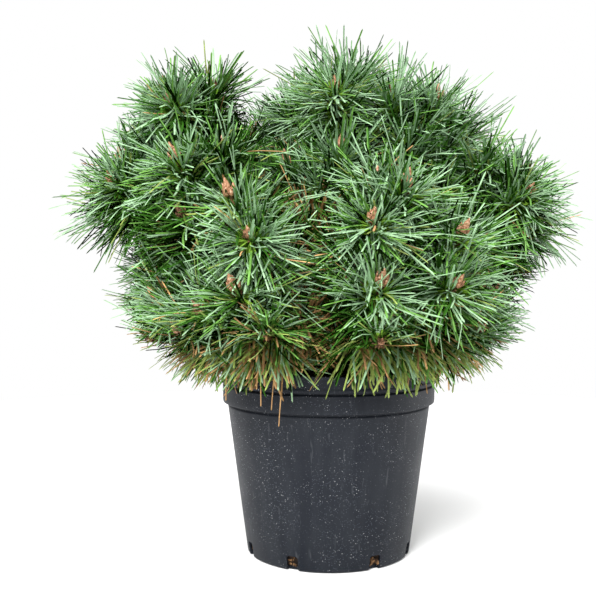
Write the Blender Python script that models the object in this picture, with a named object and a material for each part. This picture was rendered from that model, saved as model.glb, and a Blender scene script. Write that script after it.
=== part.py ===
"""A dwarf Scots pine in a round nursery container, in metres, +Z up, with the container's underside centre at the
origin and its front towards -Y. Every bough leaves one short trunk and ends where a mass of foliage begins. A mass is
a whorl: a stem, a leading shoot and side shoots, each a slim core that needles stand out of."""

import math
import random
from collections import namedtuple

import bmesh
import bpy
import numpy as np
from mathutils import Vector

# Container: outer sizes, then its wall, its rim of two bands and its drain slots.
POT_HEIGHT = 0.230
POT_FOOT_RADIUS = 0.1012
POT_SHOULDER_RADIUS = 0.1258
POT_BAND_RADIUS = 0.1322
POT_RIM_RADIUS = 0.1340
SHOULDER_HEIGHT = 0.186
SHOULDER_RISE = 0.0026
RIM_STEP_HEIGHT = 0.211
RIM_STEP_RISE = 0.001
LIP_ROUNDING = 0.0015
FOOT_ROUNDING = 0.003
POT_WALL = 0.002
POT_FLOOR = 0.003
POT_SIDES = 48
SLOT_WIDTH = 0.0145
SLOT_HEIGHT = 0.0172
SLOT_DEPTH = 0.006
SLOT_CORNER = 0.003
SLOT_ANGLES = (-67, -24, 32, 71, 113, 156, 212, 251)

# Potting mix, and the clearance between touching solids.
CLEARANCE = 0.0003
MIX_TOP = 0.205
MIX_LUMP = 0.0025
MIX_RINGS = 4

# Trunk: root flare at the potting mix, a slight bend, and a tip that carries the top whorl.
TRUNK_FOOT = Vector((0.003, 0.006, MIX_TOP + CLEARANCE))
TRUNK_RADIUS = 0.0135
TRUNK_TIP_RADIUS = 0.0045
FLARE = 0.55
FLARE_HEIGHT = 0.014
TRUNK_BEND = Vector((-0.006, 0.004, 0.0))
TRUNK_SIDES = 10
TRUNK_RINGS = 12

# Boughs.
BOUGH_RADIUS = 0.0045
BOUGH_TIP_RADIUS = 0.0033
BOUGH_SIDES = 6
BOUGH_RINGS = 6
BOUGH_RISE = 0.45
FOOT_SPACING = 0.0128
FOOT_LOWEST = 0.219
FOOT_STEP = 0.003

# Shoots: a mass points away from the spring point, and its side shoots spread from the fork below the lead.
SPRING_POINT = Vector((0.0, 0.0, 0.19))
STEM_LENGTH = 0.025
LEAD_LENGTH = 0.090
SIDE_LENGTH = 0.086
SIDE_LEAVING = math.radians(58)
SIDE_SPREAD = math.radians(41)
SHOOT_SPACING = 0.040
LIMB_SPACING = 0.002
SHOOT_RADIUS = 0.0029
CORE_RADIUS = 0.0038
SHOOT_SIDES = 5
HEAD_DEPTH = 0.022
BARE_SHARE = 0.24
BUD_SHARE = 0.89
NEEDLE_GAPS = 3

# Needles, larger than life: each stands for a tuft, and the foremost ones are the longest.
NEEDLE_LENGTH = 0.060
NEEDLE_GROWTH = 0.016
NEEDLE_VARIATION = 0.12
NEEDLE_SHORTEST = 0.45
LEAN_AT_FOOT = math.radians(80)
LEAN_AT_BUD = math.radians(20)
NEEDLE_ROOT_WIDTH = 0.0028
RIM_CLEARANCE = 0.003
SEED = 7

Whorl = namedtuple("Whorl", "name azimuth height reach sides roll")

# Each whorl's lead bud: azimuth in degrees from the front, positive to the right, height, reach from the axis, then the
# number of side shoots and the angle of the first, clockwise from straight up as seen from outside.
WHORLS = (
    Whorl("low_front_left", -24, 0.335, 0.240, 3, 15),
    Whorl("low_front_right", 13, 0.340, 0.238, 2, 10),
    Whorl("low_front", -36, 0.297, 0.126, 4, 150),
    Whorl("low_far_right", 72, 0.326, 0.205, 3, -125),
    Whorl("low_far_left", -60, 0.323, 0.229, 4, -55),
    Whorl("mid_right", 38, 0.392, 0.231, 3, -40),
    Whorl("far_right", 87, 0.473, 0.244, 4, 70),
    Whorl("centre_right", 23, 0.443, 0.209, 3, -130),
    Whorl("centre_low_left", -30, 0.434, 0.212, 2, 140),
    Whorl("left_low", -49, 0.416, 0.217, 2, 85),
    Whorl("left", -49, 0.477, 0.225, 4, -85),
    Whorl("far_left", -88, 0.495, 0.259, 4, 115),
    Whorl("centre_left", -42, 0.482, 0.077, 3, -150),
    Whorl("centre", 10, 0.497, 0.086, 3, -70),
    Whorl("top_right", 83, 0.568, 0.134, 2, 150),
    Whorl("top", 60, 0.599, 0.033, 3, 145),
    Whorl("top_left", -90, 0.584, 0.205, 4, -180),
    Whorl("back_low_right", 119, 0.359, 0.212, 4, 45),
    Whorl("back_low", 153, 0.335, 0.222, 3, 50),
    Whorl("back_low_left", -159, 0.325, 0.220, 3, 20),
    Whorl("back_low_far_left", -109, 0.368, 0.260, 3, -55),
    Whorl("back_mid_right", 100, 0.450, 0.229, 3, -55),
    Whorl("back_mid", 168, 0.430, 0.218, 3, 0),
    Whorl("back_mid_left", -158, 0.421, 0.185, 4, -75),
    Whorl("back_far_left", -94, 0.540, 0.229, 3, -180),
    Whorl("back_high_right", 83, 0.516, 0.147, 3, -170),
    Whorl("back_high", 190, 0.560, 0.168, 4, 100),
    Whorl("back_high_left", -166, 0.585, 0.171, 4, -155),
)
TOP = "top"

Shoot = namedtuple("Shoot", "whorl points site")
Limb = namedtuple("Limb", "name points radii tip_faces", defaults=(None,))
UP = Vector((0, 0, 1))


def bent(start, leaving, arriving, end, count):
    """Points along the cubic that leaves start along one vector and reaches end along the other."""
    points = []
    for i in range(count):
        t = i / (count - 1)
        points.append(
            start * (2 * t**3 - 3 * t**2 + 1)
            + leaving * (t**3 - 2 * t**2 + t)
            + arriving * (t**3 - t**2)
            + end * (3 * t**2 - 2 * t**3)
        )
    return points


def lead_bud(whorl):
    azimuth = math.radians(whorl.azimuth)
    return Vector((whorl.reach * math.sin(azimuth), -whorl.reach * math.cos(azimuth), whorl.height))


def axis_of(whorl):
    return (lead_bud(whorl) - SPRING_POINT).normalized()


def fork_of(whorl):
    return lead_bud(whorl) - axis_of(whorl) * LEAD_LENGTH


def stem_foot(whorl):
    return fork_of(whorl) - axis_of(whorl) * STEM_LENGTH


def trunk_centre(height):
    """The trunk's centre at a height: a straight line from foot to tip, with one slow bend."""
    tip = stem_foot(whorl_named(TOP))
    share = (height - TRUNK_FOOT.z) / (tip.z - TRUNK_FOOT.z)
    return TRUNK_FOOT.lerp(tip, share) + TRUNK_BEND * math.sin(math.pi * share)


def trunk_radius(height):
    share = (height - TRUNK_FOOT.z) / (stem_foot(whorl_named(TOP)).z - TRUNK_FOOT.z)
    flare = FLARE * math.exp(-(height - TRUNK_FOOT.z) / FLARE_HEIGHT)
    return (TRUNK_RADIUS + (TRUNK_TIP_RADIUS - TRUNK_RADIUS) * share) * (1 + flare)


def whorl_named(name):
    return next(whorl for whorl in WHORLS if whorl.name == name)


def across(whorl):
    """Two unit vectors square to the whorl's axis: the one nearest straight up, and the one to its right."""
    axis = axis_of(whorl)
    up = (Vector((0, 0, 1)) - axis * axis.z).normalized()
    return up, up.cross(axis)


def shoots_of_crown(boughs):
    """Every shoot, each whorl's lead first, then the side shoots that find room. A site is the middle of its needles."""
    chance = random.Random(SEED)
    leads, tips, limbs = [], [], list(boughs)
    for whorl in WHORLS:
        axis, bud = axis_of(whorl), lead_bud(whorl)
        points = [fork_of(whorl).lerp(bud, share) for share in shoot_shares()]
        leads.append(Shoot(whorl.name, points, bud - axis * HEAD_DEPTH))
        tips.append(bud)
        limbs.append(Limb(whorl.name, [stem_foot(whorl), fork_of(whorl), bud], [CORE_RADIUS] * 3))
    sides = []
    for whorl in WHORLS:
        up, right = across(whorl)
        axis, fork = axis_of(whorl), fork_of(whorl)
        for number in range(whorl.sides):
            angle = math.radians(whorl.roll + 360 * number / whorl.sides + chance.uniform(-9, 9))
            length = SIDE_LENGTH * chance.uniform(0.88, 1.08)
            outward = up * math.cos(angle) + right * math.sin(angle)
            leaving = axis * math.cos(SIDE_LEAVING) + outward * math.sin(SIDE_LEAVING)
            bud = fork + (axis * math.cos(SIDE_SPREAD) + outward * math.sin(SIDE_SPREAD)) * length
            arriving = (axis + outward * math.tan(SIDE_SPREAD) * 0.45).normalized()
            fine = bent(fork, leaving * length, arriving * length, bud, 25)
            points = [fine[round(share * 24)] for share in shoot_shares()]
            strangers = [limb for limb in limbs if limb.name not in (whorl.name, "bough_" + whorl.name)]
            crowded = min((bud - tip).length for tip in tips) < SHOOT_SPACING
            if crowded or space_around(fine[1:], strangers) < CORE_RADIUS + LIMB_SPACING:
                continue
            tips.append(bud)
            limbs.append(Limb(whorl.name, points, [CORE_RADIUS] * len(points)))
            sides.append(Shoot(whorl.name, points, bud - arriving * HEAD_DEPTH))
    return leads, sides


def space_around(points, limbs):
    """The least distance from any of the points to the bark of any of the limbs."""
    least = math.inf
    for limb in limbs:
        for a, b, radius in zip(limb.points, limb.points[1:], limb.radii):
            span = b - a
            for point in points:
                share = min(max((point - a).dot(span) / span.dot(span), 0.0), 1.0)
                least = min(least, (point - a - span * share).length - radius)
    return least


def shoot_shares():
    """Where a shoot's rings stand, from its fork at 0 to its bud's tip at 1."""
    step = (BUD_SHARE - BARE_SHARE) / NEEDLE_GAPS
    return [0.0] + [BARE_SHARE + step * i for i in range(NEEDLE_GAPS + 1)] + [1.0]


def shoot_radii():
    return [SHOOT_RADIUS, SHOOT_RADIUS] + [CORE_RADIUS] * (NEEDLE_GAPS - 1) + [SHOOT_RADIUS, 0.0]


def foot_heights():
    """The height at which each bough leaves the trunk: in line with its stem, and moved up past a foot already there."""
    feet, placed = {}, []
    wanted = []
    for whorl in WHORLS:
        if whorl.name != TOP:
            foot = stem_foot(whorl)
            height = foot.z - BOUGH_RISE * math.hypot(foot.x, foot.y)
            wanted.append((max(height, FOOT_LOWEST), whorl))
    for height, whorl in sorted(wanted, key=lambda entry: (entry[0], entry[1].name)):
        azimuth = math.radians(whorl.azimuth)
        while any(
            math.hypot(
                height - other,
                2 * trunk_radius(height) * math.sin((azimuth - turned) / 2),
            )
            < FOOT_SPACING
            for other, turned in placed
        ):
            height += FOOT_STEP
        placed.append((height, azimuth))
        feet[whorl.name] = height
    return feet


def bough_limbs():
    limbs = []
    feet = foot_heights()
    for whorl in WHORLS:
        if whorl.name == TOP:
            continue
        axis = axis_of(whorl)
        start = trunk_centre(feet[whorl.name])
        end = stem_foot(whorl) - axis * CLEARANCE / 2
        reach = (end - start).length
        outward = Vector((end.x - start.x, end.y - start.y, 0)).normalized()
        leaving = (outward + Vector((0, 0, 0.25))).normalized() * reach * 0.9
        points = bent(start, leaving, axis * reach * 0.8, end, BOUGH_RINGS)
        radii = np.linspace(BOUGH_RADIUS, BOUGH_TIP_RADIUS, BOUGH_RINGS)
        limbs.append(Limb("bough_" + whorl.name, points, list(radii), axis))
    return limbs


def trunk_limb():
    tip = stem_foot(whorl_named(TOP))
    rise = tip.z - CLEARANCE / 2 - TRUNK_FOOT.z
    heights = [TRUNK_FOOT.z + rise * (i / (TRUNK_RINGS - 1)) ** 1.35 for i in range(TRUNK_RINGS)]
    axis = axis_of(whorl_named(TOP))
    return Limb("trunk", [trunk_centre(h) for h in heights], [trunk_radius(h) for h in heights], axis)


def rings_along(points, radii, sides, foot_faces=None, tip_faces=None):
    """Rings of vertices square to a centreline, turned as little as possible from one to the next."""
    rings = []
    side = None
    for i, (point, radius) in enumerate(zip(points, radii)):
        before, after = points[max(i - 1, 0)], points[min(i + 1, len(points) - 1)]
        along = (after - before).normalized()
        if foot_faces and i == 0:
            along = foot_faces
        if tip_faces and i == len(points) - 1:
            along = tip_faces
        if side is None:
            side = along.orthogonal()
        side = (side - along * side.dot(along)).normalized()
        other = along.cross(side)
        turns = [2 * math.pi * k / sides for k in range(sides)]
        rings.append([point + (side * math.cos(t) + other * math.sin(t)) * radius for t in turns])
    return rings


def tube(points, radii, sides, **ends):
    """Vertices and faces of a closed tube. Its sides are triangles, so that each can carry a needle."""
    rings = rings_along(points, radii, sides, **ends)
    pointed = radii[-1] == 0
    if pointed:
        rings[-1] = rings[-1][:1]
    vertices = [vertex for ring in rings for vertex in ring]
    faces = [tuple(reversed(range(sides)))]
    for gap in range(len(rings) - 1):
        low, high = gap * sides, (gap + 1) * sides
        for k in range(sides):
            after = (k + 1) % sides
            if len(rings[gap + 1]) == 1:
                faces.append((low + k, low + after, high))
            elif (gap + k) % 2:
                faces += [(low + k, low + after, high + after), (low + k, high + after, high + k)]
            else:
                faces += [(low + k, low + after, high + k), (low + after, high + after, high + k)]
    if not pointed:
        last = (len(rings) - 1) * sides
        faces.append(tuple(last + k for k in range(sides)))
    return vertices, faces


def new_object(name, vertices, faces, material):
    mesh = bpy.data.meshes.new(name)
    mesh.from_pydata([tuple(v) for v in vertices], [], faces)
    mesh.materials.append(material)
    made = bpy.data.objects.new(name, mesh)
    bpy.context.scene.collection.objects.link(made)
    return made


def smoothed(made, sharp_above=math.radians(35)):
    made.data.shade_smooth()
    made.data.set_sharp_from_angle(angle=sharp_above)
    return made


def material_of(name, colour, roughness):
    made = bpy.data.materials.new(name)
    made.use_nodes = True
    shader = made.node_tree.nodes["Principled BSDF"]
    shader.inputs["Base Color"].default_value = (*colour, 1.0)
    shader.inputs["Roughness"].default_value = roughness
    shader.inputs["Metallic"].default_value = 0.0
    made.diffuse_color = (*colour, 1.0)
    return made


def keep_only_result(made):
    """Applies the object's modifiers, so that its mesh is what they make."""
    bpy.context.view_layer.update()
    result = bpy.data.meshes.new_from_object(made.evaluated_get(bpy.context.evaluated_depsgraph_get()))
    made.modifiers.clear()
    spent, made.data = made.data, result
    result.name = made.name
    bpy.data.meshes.remove(spent)
    return made


def cut(made, cutter):
    modifier = made.modifiers.new("cut", "BOOLEAN")
    modifier.operation = "DIFFERENCE"
    modifier.solver = "EXACT"
    modifier.object = cutter
    keep_only_result(made)
    bpy.data.objects.remove(cutter)
    return made


def turned(name, profile, sides, material):
    """A closed solid of revolution. The profile starts and ends on the axis, and runs anticlockwise seen from -Y."""
    mesh = bmesh.new()
    rings = []
    for radius, height in profile:
        if radius == 0:
            rings.append([mesh.verts.new((0, 0, height))])
            continue
        turns = [2 * math.pi * k / sides for k in range(sides)]
        rings.append([mesh.verts.new((radius * math.sin(t), -radius * math.cos(t), height)) for t in turns])
    for low, high in zip(rings, rings[1:]):
        for k in range(sides):
            corners = [low[k % len(low)], low[(k + 1) % len(low)], high[(k + 1) % len(high)], high[k % len(high)]]
            mesh.faces.new(list(dict.fromkeys(corners)))
    data = bpy.data.meshes.new(name)
    bmesh.ops.recalc_face_normals(mesh, faces=mesh.faces)
    mesh.to_mesh(data)
    mesh.free()
    data.materials.append(material)
    made = bpy.data.objects.new(name, data)
    bpy.context.scene.collection.objects.link(made)
    return smoothed(made)


def pot_outside():
    """Half the container's outer outline, from the underside's centre to the top of the lip."""
    return [
        (0, 0),
        (POT_FOOT_RADIUS - FOOT_ROUNDING, 0),
        (POT_FOOT_RADIUS, FOOT_ROUNDING),
        (POT_SHOULDER_RADIUS, SHOULDER_HEIGHT),
        (POT_BAND_RADIUS, SHOULDER_HEIGHT + SHOULDER_RISE),
        (POT_BAND_RADIUS, RIM_STEP_HEIGHT),
        (POT_RIM_RADIUS, RIM_STEP_HEIGHT + RIM_STEP_RISE),
        (POT_RIM_RADIUS, POT_HEIGHT - LIP_ROUNDING),
        (POT_RIM_RADIUS - LIP_ROUNDING, POT_HEIGHT),
    ]


def pot_inside():
    """Half the container's inner outline, from the inner floor's centre to the top of the lip."""
    return [
        (0, POT_FLOOR),
        (POT_FOOT_RADIUS - POT_WALL, POT_FLOOR),
        (POT_SHOULDER_RADIUS - POT_WALL, SHOULDER_HEIGHT + POT_WALL / 2),
        (POT_BAND_RADIUS - POT_WALL, SHOULDER_HEIGHT + SHOULDER_RISE + POT_WALL / 2),
        (POT_BAND_RADIUS - POT_WALL, POT_HEIGHT),
    ]


def slot_cutter():
    """One mesh of separate blocks with clipped upper corners, one at each drain slot."""
    half, corner = SLOT_WIDTH / 2, SLOT_CORNER
    outline = [
        (-half, -SLOT_DEPTH),
        (half, -SLOT_DEPTH),
        (half, SLOT_HEIGHT - corner),
        (half - corner, SLOT_HEIGHT),
        (corner - half, SLOT_HEIGHT),
        (-half, SLOT_HEIGHT - corner),
    ]
    near, far = POT_FOOT_RADIUS - SLOT_DEPTH, POT_SHOULDER_RADIUS
    vertices, faces = [], []
    for angle in SLOT_ANGLES:
        turn = math.radians(angle)
        outward = Vector((math.sin(turn), -math.cos(turn), 0))
        sideways = Vector((math.cos(turn), math.sin(turn), 0))
        first, count = len(vertices), len(outline)
        for radius in (near, far):
            vertices += [outward * radius + sideways * x + Vector((0, 0, z)) for x, z in outline]
        faces.append(tuple(first + k for k in reversed(range(count))))
        faces.append(tuple(first + count + k for k in range(count)))
        for k in range(count):
            after = (k + 1) % count
            faces.append((first + k, first + after, first + count + after, first + count + k))
    cutter = new_object("slot_cutter", vertices, faces, bpy.data.materials["pot_plastic"])
    mesh = bmesh.new()
    mesh.from_mesh(cutter.data)
    bmesh.ops.recalc_face_normals(mesh, faces=mesh.faces)
    mesh.to_mesh(cutter.data)
    mesh.free()
    return cutter


def build_pot():
    profile = pot_outside() + list(reversed(pot_inside()))
    pot = turned("pot", profile, POT_SIDES, bpy.data.materials["pot_plastic"])
    return smoothed(cut(pot, slot_cutter()))


def build_mix():
    """The potting mix fills the container to just under its rim, level at the trunk and lumpy towards the wall."""
    wall = [(max(r - CLEARANCE, 0), z) for r, z in pot_inside()[1:]]
    foot = (wall[0][0] - CLEARANCE, POT_FLOOR + CLEARANCE)
    edge = wall[-1][0]
    shoulder = [wall[1], (edge, wall[2][1] + CLEARANCE)]
    profile = [(0, foot[1]), foot, *shoulder, (edge, MIX_TOP - MIX_LUMP)]
    inner = TRUNK_RADIUS * (1 + FLARE) * 1.6
    profile += [
        (inner + (edge - inner) * (1 - (i + 0.5) / MIX_RINGS), MIX_TOP - MIX_LUMP / 2) for i in range(MIX_RINGS)
    ]
    profile += [(inner, MIX_TOP), (0, MIX_TOP)]
    mix = turned("potting_mix", profile, POT_SIDES // 2, bpy.data.materials["mix"])
    chance = random.Random(SEED)
    for vertex in mix.data.vertices:
        radius = math.hypot(vertex.co.x, vertex.co.y)
        if vertex.co.z > MIX_TOP - MIX_LUMP * 0.9 and radius > inner * 1.1:
            vertex.co.z += chance.uniform(-MIX_LUMP, MIX_LUMP) / 2
    return mix


def build_trunk(limb):
    vertices, faces = tube(limb.points, limb.radii, TRUNK_SIDES, foot_faces=UP, tip_faces=limb.tip_faces)
    return smoothed(new_object("trunk", vertices, faces, bpy.data.materials["bark"]))


def build_bough(limb, trunk):
    """A tapering tube from the trunk's heart, cut back to just clear of the bark."""
    vertices, faces = tube(limb.points, limb.radii, BOUGH_SIDES, tip_faces=limb.tip_faces)
    bough = new_object(limb.name, vertices, faces, bpy.data.materials["bark"])
    wider = [radius + CLEARANCE * 1.3 for radius in trunk.radii]
    lengthened = [trunk.points[0] - Vector((0, 0, CLEARANCE * 2)), *trunk.points[1:]]
    lengthened[-1] = lengthened[-1] + Vector((0, 0, CLEARANCE * 2))
    skin = new_object("trunk_skin", *tube(lengthened, wider, TRUNK_SIDES, foot_faces=UP), bough.data.materials[0])
    return smoothed(cut(bough, skin))


class Room:
    """What a needle may fill: its own shoot's share of the air, clear of limbs, other shoots and the container."""

    SAMPLES = np.linspace(0.0, 1.0, 14)

    def __init__(self, sites, limbs):
        self.sites = np.array([tuple(site) for site in sites])
        starts, ends, radii, owners = [], [], [], []
        for owner, limb in limbs:
            for a, b, radius in zip(limb.points, limb.points[1:], limb.radii):
                starts.append(tuple(a))
                ends.append(tuple(b))
                radii.append(radius)
                owners.append(owner)
        self.starts, self.radii, self.owners = np.array(starts), np.array(radii), np.array(owners)
        self.spans = np.array(ends) - self.starts

    def longest(self, number, corners, root, direction):
        """How far a needle of shoot number can run before it is nearer to another shoot's site."""
        between = np.delete(self.sites, number, axis=0) - self.sites[number]
        distances = np.linalg.norm(between, axis=1)
        normals = between / distances[:, None]
        limits = distances / 2 - CLEARANCE
        if (limits - (np.array(corners) - self.sites[number]) @ normals.T < 0).any():
            return 0.0
        gaps = limits - normals @ (np.array(root) - self.sites[number])
        rates = normals @ np.array(direction)
        ahead = rates > 1e-6
        return float((gaps[ahead] / rates[ahead]).min()) if ahead.any() else 1.0

    def clear(self, number, corners, tip):
        """True where the needle from these corners to the tip stays off every other limb and off the container."""
        share = self.SAMPLES[None, :, None]
        points = np.array(corners)[:, None] * (1 - share) + np.array(tip) * share
        widths = np.tile(NEEDLE_ROOT_WIDTH * (1 - self.SAMPLES) + 2 * CLEARANCE, len(corners))
        points = points.reshape(-1, 3)
        low = points[:, 2] < POT_HEIGHT + RIM_CLEARANCE
        if (low & (np.hypot(points[:, 0], points[:, 1]) < POT_RIM_RADIUS + RIM_CLEARANCE)).any():
            return False
        others = self.owners != number
        starts, spans = self.starts[others], self.spans[others]
        offsets = points[:, None, :] - starts[None]
        along = (offsets * spans).sum(2) / (spans**2).sum(1)
        nearest = offsets - np.clip(along, 0, 1)[..., None] * spans
        reach = np.linalg.norm(nearest, axis=2) - self.radii[others]
        return bool((reach > widths[:, None]).all())


def needled(vertices, faces, points, number, room, chance):
    """Raises a needle from each triangle between the bare foot and the bud, where there is room for one."""
    first = 1 + SHOOT_SIDES * 2 * (len(points) - 2 - NEEDLE_GAPS)
    last = first + SHOOT_SIDES * 2 * NEEDLE_GAPS
    vertices, kept = list(vertices), list(faces[:first])
    bud, fork = points[-1], points[-3 - NEEDLE_GAPS]
    whole = (bud - fork).length
    for face in faces[first:last]:
        corners = [vertices[k] for k in face]
        root = sum(corners, Vector()) / 3
        nearest = min(range(len(points) - 1), key=lambda k: (points[k].lerp(points[k + 1], 0.5) - root).length)
        along = (points[nearest + 1] - points[nearest]).normalized()
        centre = points[nearest] + along * (root - points[nearest]).dot(along)
        share = 1 - (bud - root).length / whole
        lean = LEAN_AT_FOOT + (LEAN_AT_BUD - LEAN_AT_FOOT) * (share - BARE_SHARE) / (BUD_SHARE - BARE_SHARE)
        direction = (root - centre).normalized() * math.sin(lean) + along * math.cos(lean)
        wanted = NEEDLE_LENGTH * chance.uniform(1 - NEEDLE_VARIATION, 1 + NEEDLE_VARIATION) + NEEDLE_GROWTH * share
        length = min(wanted, room.longest(number, corners, root, direction))
        while length > wanted * NEEDLE_SHORTEST and not room.clear(number, [*corners, root], root + direction * length):
            length -= wanted * 0.12
        if length <= wanted * NEEDLE_SHORTEST:
            kept.append(face)
            continue
        tip = len(vertices)
        vertices.append(root + direction * length)
        kept += [(face[k], face[(k + 1) % 3], tip) for k in range(3)]
    return vertices, kept + list(faces[last:])


def build_mass(whorl, leads, sides, room):
    """One whorl's stem, lead and side shoots, with their needles, joined into one solid."""
    chance = random.Random(f"{SEED} {whorl.name}")
    everyone = leads + sides
    members = [number for number, shoot in enumerate(everyone) if shoot.whorl == whorl.name]
    made = []
    for number in members:
        points, radii = list(everyone[number].points), shoot_radii()
        if number < len(leads):
            points.insert(0, stem_foot(whorl) + axis_of(whorl) * CLEARANCE / 2)
            radii.insert(0, BOUGH_TIP_RADIUS)
        vertices, faces = tube(points, radii, SHOOT_SIDES)
        vertices, faces = needled(vertices, faces, points, number, room, chance)
        made.append(new_object("needles_" + whorl.name, vertices, faces, bpy.data.materials["needles"]))
    mass, laterals = made[0], made[1:]
    if laterals:
        joined = bpy.data.collections.new("side_shoots")
        bpy.context.scene.collection.children.link(joined)
        for lateral in laterals:
            bpy.context.scene.collection.objects.unlink(lateral)
            joined.objects.link(lateral)
        modifier = mass.modifiers.new("join", "BOOLEAN")
        modifier.operation = "UNION"
        modifier.operand_type = "COLLECTION"
        modifier.solver = "EXACT"
        modifier.collection = joined
        keep_only_result(mass)
        for lateral in laterals:
            bpy.data.objects.remove(lateral)
        bpy.data.collections.remove(joined)
    return mass


def main():
    for old in list(bpy.data.objects):
        bpy.data.objects.remove(old)
    material_of("pot_plastic", (0.030, 0.033, 0.038), 0.45)
    material_of("mix", (0.075, 0.045, 0.028), 0.95)
    material_of("bark", (0.190, 0.105, 0.060), 0.85)
    material_of("needles", (0.110, 0.235, 0.140), 0.50)
    build_pot()
    build_mix()
    trunk, boughs = trunk_limb(), bough_limbs()
    build_trunk(trunk)
    for bough in boughs:
        build_bough(bough, trunk)
    leads, sides = shoots_of_crown([trunk, *boughs])
    everyone = leads + sides
    limbs = [(-1, limb) for limb in [trunk, *boughs]]
    for number, shoot in enumerate(everyone):
        limbs.append((number, Limb(shoot.whorl, shoot.points, shoot_radii())))
        if number < len(leads):
            whorl = whorl_named(shoot.whorl)
            stem = [stem_foot(whorl), fork_of(whorl)]
            limbs.append((number, Limb(shoot.whorl, stem, [BOUGH_TIP_RADIUS, SHOOT_RADIUS])))
    room = Room([shoot.site for shoot in everyone], limbs)
    for whorl in WHORLS:
        build_mass(whorl, leads, sides, room)


main()
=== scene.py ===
"""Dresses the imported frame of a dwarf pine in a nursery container: the container, the compost, the trunk and
boughs with their bark, and shoots with buds and needles of life size in place of the frame's plain masses.
Lengths are in metres, and the frame's own axes are used: +Z up, the photograph's viewer at -Y."""

import math
import random
from collections import namedtuple

import bmesh
import bpy
import numpy as np
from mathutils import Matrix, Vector, noise

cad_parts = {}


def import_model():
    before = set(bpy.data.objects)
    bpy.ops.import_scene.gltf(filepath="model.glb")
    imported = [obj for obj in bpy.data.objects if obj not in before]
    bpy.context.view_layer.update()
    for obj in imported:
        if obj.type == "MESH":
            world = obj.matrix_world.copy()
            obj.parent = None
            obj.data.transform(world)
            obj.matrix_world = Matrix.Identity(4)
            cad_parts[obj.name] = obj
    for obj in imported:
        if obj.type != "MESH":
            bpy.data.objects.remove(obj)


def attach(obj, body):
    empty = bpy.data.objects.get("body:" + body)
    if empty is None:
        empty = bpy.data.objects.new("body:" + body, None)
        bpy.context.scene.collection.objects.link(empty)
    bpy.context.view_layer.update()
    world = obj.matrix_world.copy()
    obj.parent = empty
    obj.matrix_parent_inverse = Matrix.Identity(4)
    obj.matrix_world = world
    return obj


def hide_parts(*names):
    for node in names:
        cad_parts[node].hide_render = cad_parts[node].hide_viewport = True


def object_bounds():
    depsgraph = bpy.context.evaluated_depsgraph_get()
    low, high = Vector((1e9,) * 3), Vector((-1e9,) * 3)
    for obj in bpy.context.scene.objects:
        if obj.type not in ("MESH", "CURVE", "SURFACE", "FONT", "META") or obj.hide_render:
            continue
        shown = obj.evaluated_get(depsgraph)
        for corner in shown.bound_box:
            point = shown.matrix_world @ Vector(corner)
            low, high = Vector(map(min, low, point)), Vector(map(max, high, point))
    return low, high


UP = Vector((0, 0, 1))
SEED = 7
GOLDEN_ANGLE = math.radians(137.5)

# The photograph's camera.
PHOTO_WIDTH, PHOTO_HEIGHT = 596, 600
CAMERA_PLACE = Vector((0.0, -1.111, 0.337))
CAMERA_TILT = math.radians(1.27)
CAMERA_PAN = math.radians(1.97)
FOCAL_PIXELS = 884

# A white room, its lamps (name, place, target, size and power), and the paper that the container stands on.
ROOM_BRIGHTNESS = 1.0
LAMPS = (
    ("key", (-0.35, -1.35, 2.7), (0, 0, 0.4), (2.8, 2.8), 130),
    ("front", (-0.45, -1.9, 1.55), (0, 0, 0.3), (0.7, 0.7), 64),
    ("side", (1.5, 0.22, 0.22), (0, 0, 0.15), (0.16, 0.8), 7),
)
PAPER_RADIUS = 1.6
PAPER_TOP = -0.0005
PAPER_UNDERSIDE = -0.01

# Container, as in the frame, with a thicker floor and finer sides.
POT_HEIGHT = 0.23
FOOT_RADIUS = 0.1012
SHOULDER_RADIUS = 0.1258
BAND_RADIUS = 0.1322
RIM_RADIUS = 0.134
SHOULDER_HEIGHT = 0.186
SHOULDER_RISE = 0.0026
RIM_STEP_HEIGHT = 0.211
POT_WALL = 0.002
POT_FLOOR = 0.0042
POT_SIDES = 144
SHARP_ANGLE = math.radians(40)
CORNER_STEPS = 4
ROUND_SIDES = 96
SLOT_WIDTH = 0.0145
SLOT_HEIGHT = 0.0172
SLOT_DEPTH = 0.006
SLOT_CORNER = 0.003
SLOT_OVERRUN = 0.01
SLOT_ANGLES = (-67, -24, 32, 71, 113, 156, 212, 251)

# Compost: a filling with a lumpy top, and flakes of bark there and behind the slots.
MIX_TOP = 0.205
MIX_WALL = 2 * POT_WALL + 0.0004
MIX_RADIUS = BAND_RADIUS - MIX_WALL
MIX_RINGS = 30
MIX_LUMPS = ((0.0022, 90), (0.0012, 300))
FLAKES_ON_TOP = 1500
FLAKE_HEIGHTS = (-0.001, 0.0015)
FLAKE_SIZES = (0.004, 0.01)
FLAKE_EDGE_GAP = 0.006
FLAKE_TRUNK_ROOM = 1.7
FLAKES_IN_SLOT = 9
SLOT_FLAKE_RISE = 0.001
SLOT_FLAKE_TURN = 4.2
SLOT_FLAKE_REACH = (0.0965, 0.0985)
SLOT_FLAKE_SIZES = (0.003, 0.007)

# How far the scene may grow past the frame, as soft foliage.
GROWTH_MARGIN = 0.012

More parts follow.
